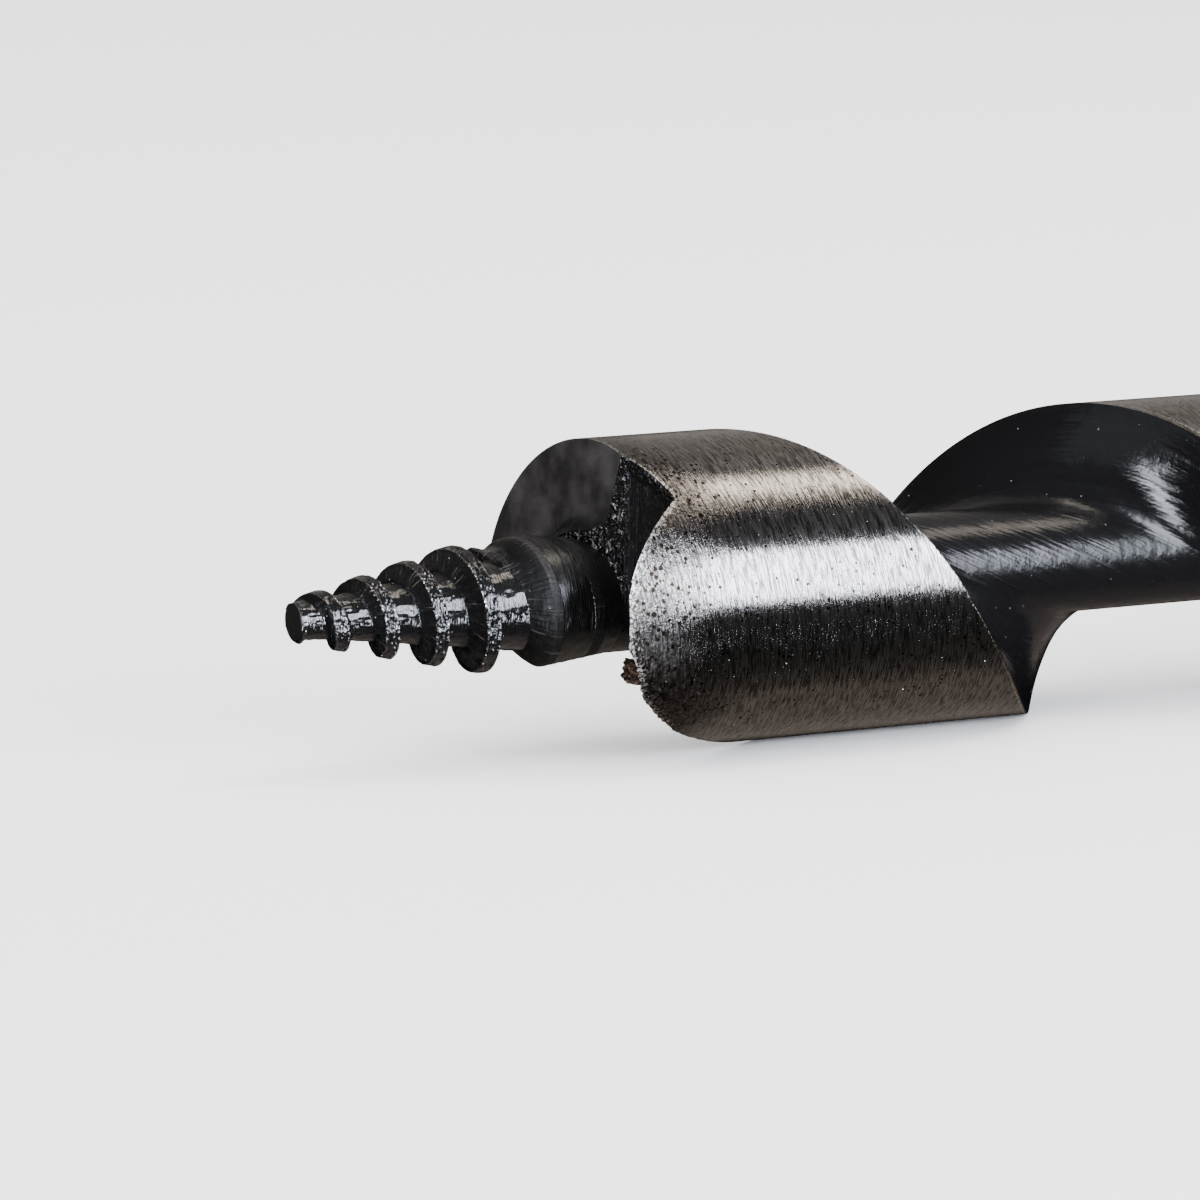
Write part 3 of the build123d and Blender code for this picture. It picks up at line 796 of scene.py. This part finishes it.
class AUGER_OT_feed_screw(bpy.types.Operator):
    """Builds the conical feed screw"""

    bl_idname = "auger.feed_screw"
    bl_label = "Feed screw"

    def execute(self, context):
        sizes = context.scene.auger_sizes
        around, rows = 240, 400
        turns = 2 * np.pi * np.arange(around) / around
        # From here on in millimetres, from the point and from the axis; the base reaches 3 mm into the head
        x = np.linspace(0, sizes.screw_length / MM + 3, rows)[:, None]
        pitch = sizes.screw_pitch / MM
        rough = grid_noise(rows, around, 60, 48, 11)
        fine = grid_noise(rows, around, 170, 150, 12)
        # The envelope: a blunt point, a cone of crests, and the round base, which narrows towards the core
        point_length, point_face, point_swell = 0.6, 0.66, 0.59
        crest_start, crest_angle, widest = 1.12, math.radians(12.35), 3.36
        base_radius, narrowing, narrows_from, narrows_over = 3.3, 0.42, 13.9, 3.7
        root_start, root_angle, point_stock = 0.79, math.radians(7.3), 0.12
        crest = crest_start + x * math.tan(crest_angle)
        bulge = np.sqrt(np.clip(1 - (1 - x / point_length) ** 2, 0, 1))
        crest = np.where(x < point_length, point_face + point_swell * bulge, crest)
        crest = np.minimum(crest, widest)
        base = base_radius - narrowing * np.clip((x - narrows_from) / narrows_over, 0, 1)
        crest = crest + (base - crest) * smooth((x - 10.4) / 3.0)
        root = root_start + x * math.tan(root_angle) + point_stock * (1 - smooth(x / 2.5))
        # The groove: a flat root between steep flanks; its last pass lies later and rises slowly behind
        thread_end, half_root, half_groove = 13.0, 0.56, 0.98
        late = 0.1 * smooth((x - 8.6) / 1.6) + 0.75 * smooth((x - 10.7) / 1.3)
        offset = x - late - pitch * turns[None, :] / (2 * np.pi)
        near = offset - pitch * np.round(offset / pitch)
        near = near + pitch * (x - near > thread_end)
        centre = x - near
        last = smooth((centre - 10.1) / 0.9)
        foot = half_root - 0.1 * last
        brow = np.where(near > 0, half_groove + 0.5 * last, half_groove)
        share = np.clip((np.abs(near) - foot) / (brow - foot), 0, 1)
        rise = smooth(share) * (1 - last) + (1 - (1 - share) ** 1.3) * last
        rise = np.where(centre < -0.4, 1, rise)
        fade = smooth((centre - 12.2) / 0.7)
        rise = rise + (1 - rise) * fade
        chip_share, chip_depth, waves = 0.62, 0.28, 0.035
        chips = np.clip(fine - chip_share, 0, 1) * chip_depth * smooth((x - 1.5) / 1.5) * (x < 12)
        grid = (root + (crest - chips - root) * rise + (rough - 0.5) * waves) * MM
        vertices = [at(0, 0, 0)]
        for row in range(rows):
            for place in range(around):
                vertices.append(at(float(x[row, 0]) * MM, float(grid[row, place]), float(turns[place])))
        faces = [(0, 1 + place, 1 + (place + 1) % around) for place in range(around)]
        for face in tube_faces(rows, around, True)[:-2]:
            faces.append(tuple(1 + corner for corner in face))
        faces.append(tuple(1 + (rows - 1) * around + place for place in range(around)))
        screw = mesh_object("feed_screw", vertices, faces, shared_material("lacquered_thread"))
        # Wear, partly real chips and partly painted glints, lies along the crests' brows and round the point;
        # steep flanks show the cutter's fans
        brow_width, point_edge, point_width = 0.1, 0.3, 0.12
        edge = np.exp(-((np.abs(near) - brow) / brow_width) ** 2) * (x > 1.0) * (1 - last)
        edge = np.maximum(edge, np.exp(-((x - point_edge) / point_width) ** 2))
        slope = np.empty(len(screw.data.vertices) * 3)
        screw.data.vertices.foreach_get("normal", slope)
        distance = np.concatenate(([0], np.repeat(x[:, 0], around)))
        if len(screw.data.vertices) != len(distance):
            raise RuntimeError("the feed screw lost vertices")
        steep = np.clip((np.abs(slope.reshape(-1, 3)[:, 0]) - 0.3) / 0.3, 0, 1) * (distance > 1.5)
        spread = (last * (near > 0.46) * (near < 1.9)).ravel()
        for name, values in (("crest_wear_and_glint", np.concatenate(([0], edge.ravel()))),
                             ("flank", np.maximum(steep, np.concatenate(([0], spread))))):
            layer = screw.data.attributes.new(name, "FLOAT", "POINT")
            layer.data.foreach_set("value", values.astype(np.float32))
        finish_piece(screw, 35)
        return {"FINISHED"}


class AUGER_OT_tooth(bpy.types.Operator):
    """Builds the torn tooth left at the corner of the spur"""

    bl_idname = "auger.tooth"
    bl_label = "Torn tooth"

    def execute(self, context):
        tip_x, reach, widening, notch_depth, crumble = 0.01512, 0.0011, 0.0006, 0.00012, 0.00006
        under_rim, thickness, bent_in = 0.00003, 0.00075, 0.00035
        first_degree, degrees = 108, 8.5
        shape = bmesh.new()
        bmesh.ops.create_cube(shape, size=1.0)
        bmesh.ops.subdivide_edges(shape, edges=shape.edges, cuts=9, use_grid_fill=True)
        shift = np.random.default_rng(5).random((len(shape.verts), 3)) - 0.5
        for vertex, by in zip(shape.verts, shift):
            along, up, out = vertex.co.x + 0.5, vertex.co.y + 0.5, vertex.co.z + 0.5
            # Broad where it hangs on the rim, thin and bent inwards at its tip, with two notches
            notch = notch_depth * (math.sin(up * 19) > 0.2) * (1 - along)
            x = tip_x + (reach + widening * up) * along + notch + by[0] * crumble
            turn = math.radians(first_degree + degrees * up + by[1] * 0.5)
            radius = RIM - under_rim - thickness * (1 - out) - bent_in * (1 - along) ** 2
            radius += min(by[2], 0) * crumble
            vertex.co = at(x, radius, turn)
        mesh = bpy.data.meshes.new("torn_tooth")
        bmesh.ops.recalc_face_normals(shape, faces=shape.faces)
        shape.to_mesh(mesh)
        shape.free()
        mesh.materials.append(shared_material("rusted_chip"))
        tooth = bpy.data.objects.new("torn_tooth", mesh)
        context.scene.collection.objects.link(tooth)
        finish_piece(tooth, 40)
        return {"FINISHED"}


class AUGER_OT_neck(bpy.types.Operator):
    """Builds the round neck"""

    bl_idname = "auger.neck"
    bl_label = "Neck"

    def execute(self, context):
        sizes = context.scene.auger_sizes
        spiral_end = sizes.screw_length + sizes.spiral_length
        neck_end = -POINT_X - sizes.shank_length
        cone_length, within_core, into_shank, steps = 0.012, 0.00025, 0.0005, 60
        profile = [(spiral_end - cone_length, sizes.core_radius - within_core)]
        profile += [(spiral_end + (neck_end + into_shank - spiral_end) * step / steps, sizes.neck_radius)
                    for step in range(steps + 1)]
        neck = turned("neck", profile, 160, shared_material("baked_black_lacquer"))
        finish_piece(neck, 30)
        return {"FINISHED"}


class AUGER_OT_shank(bpy.types.Operator):
    """Builds the hexagonal shank"""

    bl_idname = "auger.shank"
    bl_label = "Hexagonal shank"

    def execute(self, context):
        sizes = context.scene.auger_sizes
        lacquer = shared_material("baked_black_lacquer")
        flat = sizes.shank_flats / 2
        corner = flat / math.cos(math.pi / 6)
        start = -POINT_X - sizes.shank_length
        end = -POINT_X
        hexagon = [at(x, corner, math.radians(30 + 60 * place)) for x in (start, end) for place in range(6)]
        shank = mesh_object("shank", hexagon, tube_faces(2, 6, True), lacquer)
        # The shoulder rises at 30 degrees, and the end is turned down to a little under the flats
        past_corner, chamfer, under_flat = 0.0005, 0.001, 0.0005
        wide = corner + past_corner
        rise = wide - sizes.neck_radius
        profile = crowned(start, sizes.neck_radius, rise / math.tan(math.radians(30)), rise)
        end_run = chamfer + wide - flat
        profile += crowned(end - end_run, wide, end_run, flat - under_flat - wide)
        combine(shank, turned("shank_turning", profile, 240, lacquer), "INTERSECT")
        finish_piece(shank, 25)
        return {"FINISHED"}


# Lamps: elevation in degrees from the front over the top, lean towards the shank, distance, width, height,
# power, colour, and whether the steel shows it
LAMPS = (
    ("key_softbox", 13, 0.35, 0.7, 0.34, 0.4, 15, "#EBF1FF", True),
    ("warm_overhead", 84, 0.5, 0.8, 0.6, 0.19, 3.2, "#FFF3E4", True),
    ("room_front", 70, 0.5, 1.4, 1.6, 2.0, 2.0, "#F6F6FF", True),
    ("room_behind", 136, 0.5, 0.9, 1.2, 1.1, 2.0, "#FFF6EE", True),
    ("table_front", -38, 0.5, 0.9, 1.2, 0.9, 0.22, "#FFFFFF", True),
    ("table_glow", -110, 0.5, 0.8, 1.2, 1.0, 1.15, "#FFEEE0", True),
    ("room_left", 183, -0.66, 0.8, 0.7, 0.7, 0.34, "#FFFAF2", True),
    ("left_window", 10, -0.84, 0.8, 0.4, 0.7, 0.9, "#EEF3FF", True),
    ("low_window", -30, -0.4, 0.8, 0.6, 0.2, 20, "#EEF3FF", True),
    ("ceiling_fill", 70, -0.45, 1.2, 1.6, 1.6, 18, "#FFFFFF", False),
)
LAMPS_AIM = Vector((-0.2, 0, 0))
FLOOR_REACH = 4
WORLD_COLOUR, WORLD_STRENGTH = linear("#F2F2F3"), 2.6
# The camera: where it stands, which way its back points, and its lens in millimetres
CAMERA_PLACE = (-0.40202, -0.31488, 0.05277)
CAMERA_BACK = Vector((-0.5005, -0.8538, 0.1437))
CAMERA_LENS, SENSOR_WIDTH = 219.24, 36


class AUGER_OT_stage(bpy.types.Operator):
    """Sets up the floor, the lights and the camera"""

    bl_idname = "auger.stage"
    bl_label = "Floor, lights and camera"

    def execute(self, context):
        scene = context.scene
        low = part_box(NODE)[0].z
        corners = [(x * FLOOR_REACH, y * FLOOR_REACH, low) for x, y in ((-1, -1), (1, -1), (1, 1), (-1, 1))]
        floor = mesh_object("floor", corners, [(0, 1, 2, 3)], shared_material("pale_paper"))
        floor.visible_glossy = False
        for name, elevation, lean, distance, size, size_y, power, colour, seen in LAMPS:
            angle = math.radians(elevation)
            side = math.sqrt(1 - lean * lean)
            way = Vector((lean, -side * math.cos(angle), side * math.sin(angle)))
            data = bpy.data.lights.new(name, "AREA")
            data.shape = "RECTANGLE"
            data.size, data.size_y = size, size_y
            data.energy = power
            data.color = linear(colour)
            lamp = bpy.data.objects.new(name, data)
            scene.collection.objects.link(lamp)
            across = (Vector((1, 0, 0)) - way * way.x).normalized()
            lamp.matrix_world = Matrix.LocRotScale(
                LAMPS_AIM + way * distance, Matrix((across, way.cross(across), way)).transposed(), None)
            lamp.visible_glossy = seen
            lamp.visible_camera = False
        world = bpy.data.worlds.new("studio")
        scene.world = world
        world.use_nodes = True
        feed(world.node_tree, world.node_tree.nodes["Background"],
             {"Color": opaque(WORLD_COLOUR), "Strength": WORLD_STRENGTH})
        world.cycles_visibility.glossy = False
        data = bpy.data.cameras.new("camera")
        data.sensor_width = SENSOR_WIDTH
        data.lens = CAMERA_LENS
        data.clip_start = 0.01
        camera = bpy.data.objects.new("camera", data)
        scene.collection.objects.link(camera)
        camera.location = CAMERA_PLACE
        camera.rotation_euler = CAMERA_BACK.to_track_quat("Z", "Y").to_euler()
        scene.camera = camera
        return {"FINISHED"}


class AUGER_PT_panel(bpy.types.Panel):
    """Lists the bit's pieces, sizes and colours"""

    bl_idname = "AUGER_PT_panel"
    bl_label = "Auger bit"
    bl_space_type = "VIEW_3D"
    bl_region_type = "UI"
    bl_category = "Auger bit"

    def draw(self, context):
        for operator in OPERATORS:
            self.layout.operator(operator.bl_idname)
        for group in (context.scene.auger_sizes, context.scene.auger_colours):
            for name in group.__annotations__:
                self.layout.prop(group, name)


OPERATORS = (AUGER_OT_spiral, AUGER_OT_tooth, AUGER_OT_feed_screw, AUGER_OT_neck, AUGER_OT_shank,
             AUGER_OT_stage)
CLASSES = (BitSizes, BitColours, *OPERATORS, AUGER_PT_panel)


def register():
    for made in CLASSES:
        bpy.utils.register_class(made)
    bpy.types.Scene.auger_sizes = PointerProperty(type=BitSizes)
    bpy.types.Scene.auger_colours = PointerProperty(type=BitColours)


def unregister():
    del bpy.types.Scene.auger_colours
    del bpy.types.Scene.auger_sizes
    for made in reversed(CLASSES):
        bpy.utils.unregister_class(made)


def main():
    """Builds every piece and the stage."""
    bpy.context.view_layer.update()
    register()
    bpy.ops.auger.spiral()
    bpy.ops.auger.tooth()
    bpy.ops.auger.feed_screw()
    bpy.ops.auger.neck()
    bpy.ops.auger.shank()
    bpy.ops.auger.stage()


if __name__ == "__main__":
    main()
